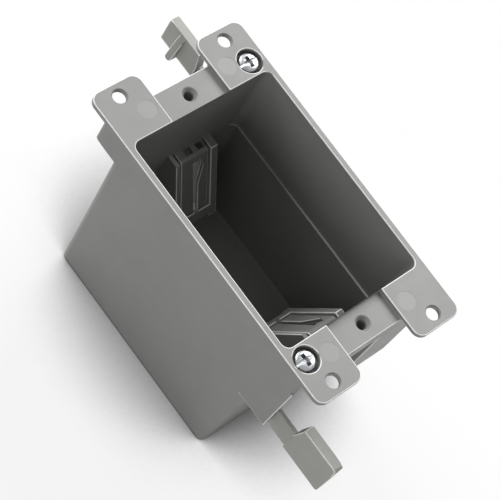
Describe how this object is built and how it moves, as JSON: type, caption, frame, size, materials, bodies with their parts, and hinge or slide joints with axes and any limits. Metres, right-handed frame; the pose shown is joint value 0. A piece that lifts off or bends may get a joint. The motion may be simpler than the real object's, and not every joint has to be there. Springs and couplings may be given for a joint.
{
  "type": "wall box",
  "caption": "Old-work wall box for one wiring device, with face tabs, swing-out clamping wings on corner screws and built-in cable clamps.",
  "frame": {"origin": "centre of the back face, at its lowest plane", "axes": "+Z out of the opening, +X across the width, +Y along the length towards the end with the upper wing"},
  "size_m": [0.0572, 0.1414, 0.072],
  "materials": {
    "grey_plastic": "satin moulded",
    "zinc_steel": "bright zinc plating"
  },
  "bodies": {
    "box": {"box_body": "grey_plastic"},
    "upper_turn": {"upper_screw": "zinc_steel"},
    "lower_turn": {"lower_screw": "zinc_steel"},
    "upper_flip": {"upper_wing": "grey_plastic"},
    "lower_flip": {"lower_wing": "grey_plastic"}
  },
  "joints": [
    {"name": "upper_swing", "type": "hinge", "parent": "box", "child": "upper_turn", "pos_m": [0.023, 0.0415, 0.07], "axis": [0, 0, 1], "range_deg": [0, 90]},
    {"name": "upper_draw", "type": "slide", "parent": "upper_turn", "child": "upper_flip", "axis": [0, 0, 1], "range_m": [-0.004, 0.005]},
    {"name": "lower_swing", "type": "hinge", "parent": "box", "child": "lower_turn", "pos_m": [-0.023, -0.0415, 0.07], "axis": [0, 0, 1], "range_deg": [0, 90]},
    {"name": "lower_draw", "type": "slide", "parent": "lower_turn", "child": "lower_flip", "axis": [0, 0, 1], "range_m": [-0.004, 0.005]}
  ]
}
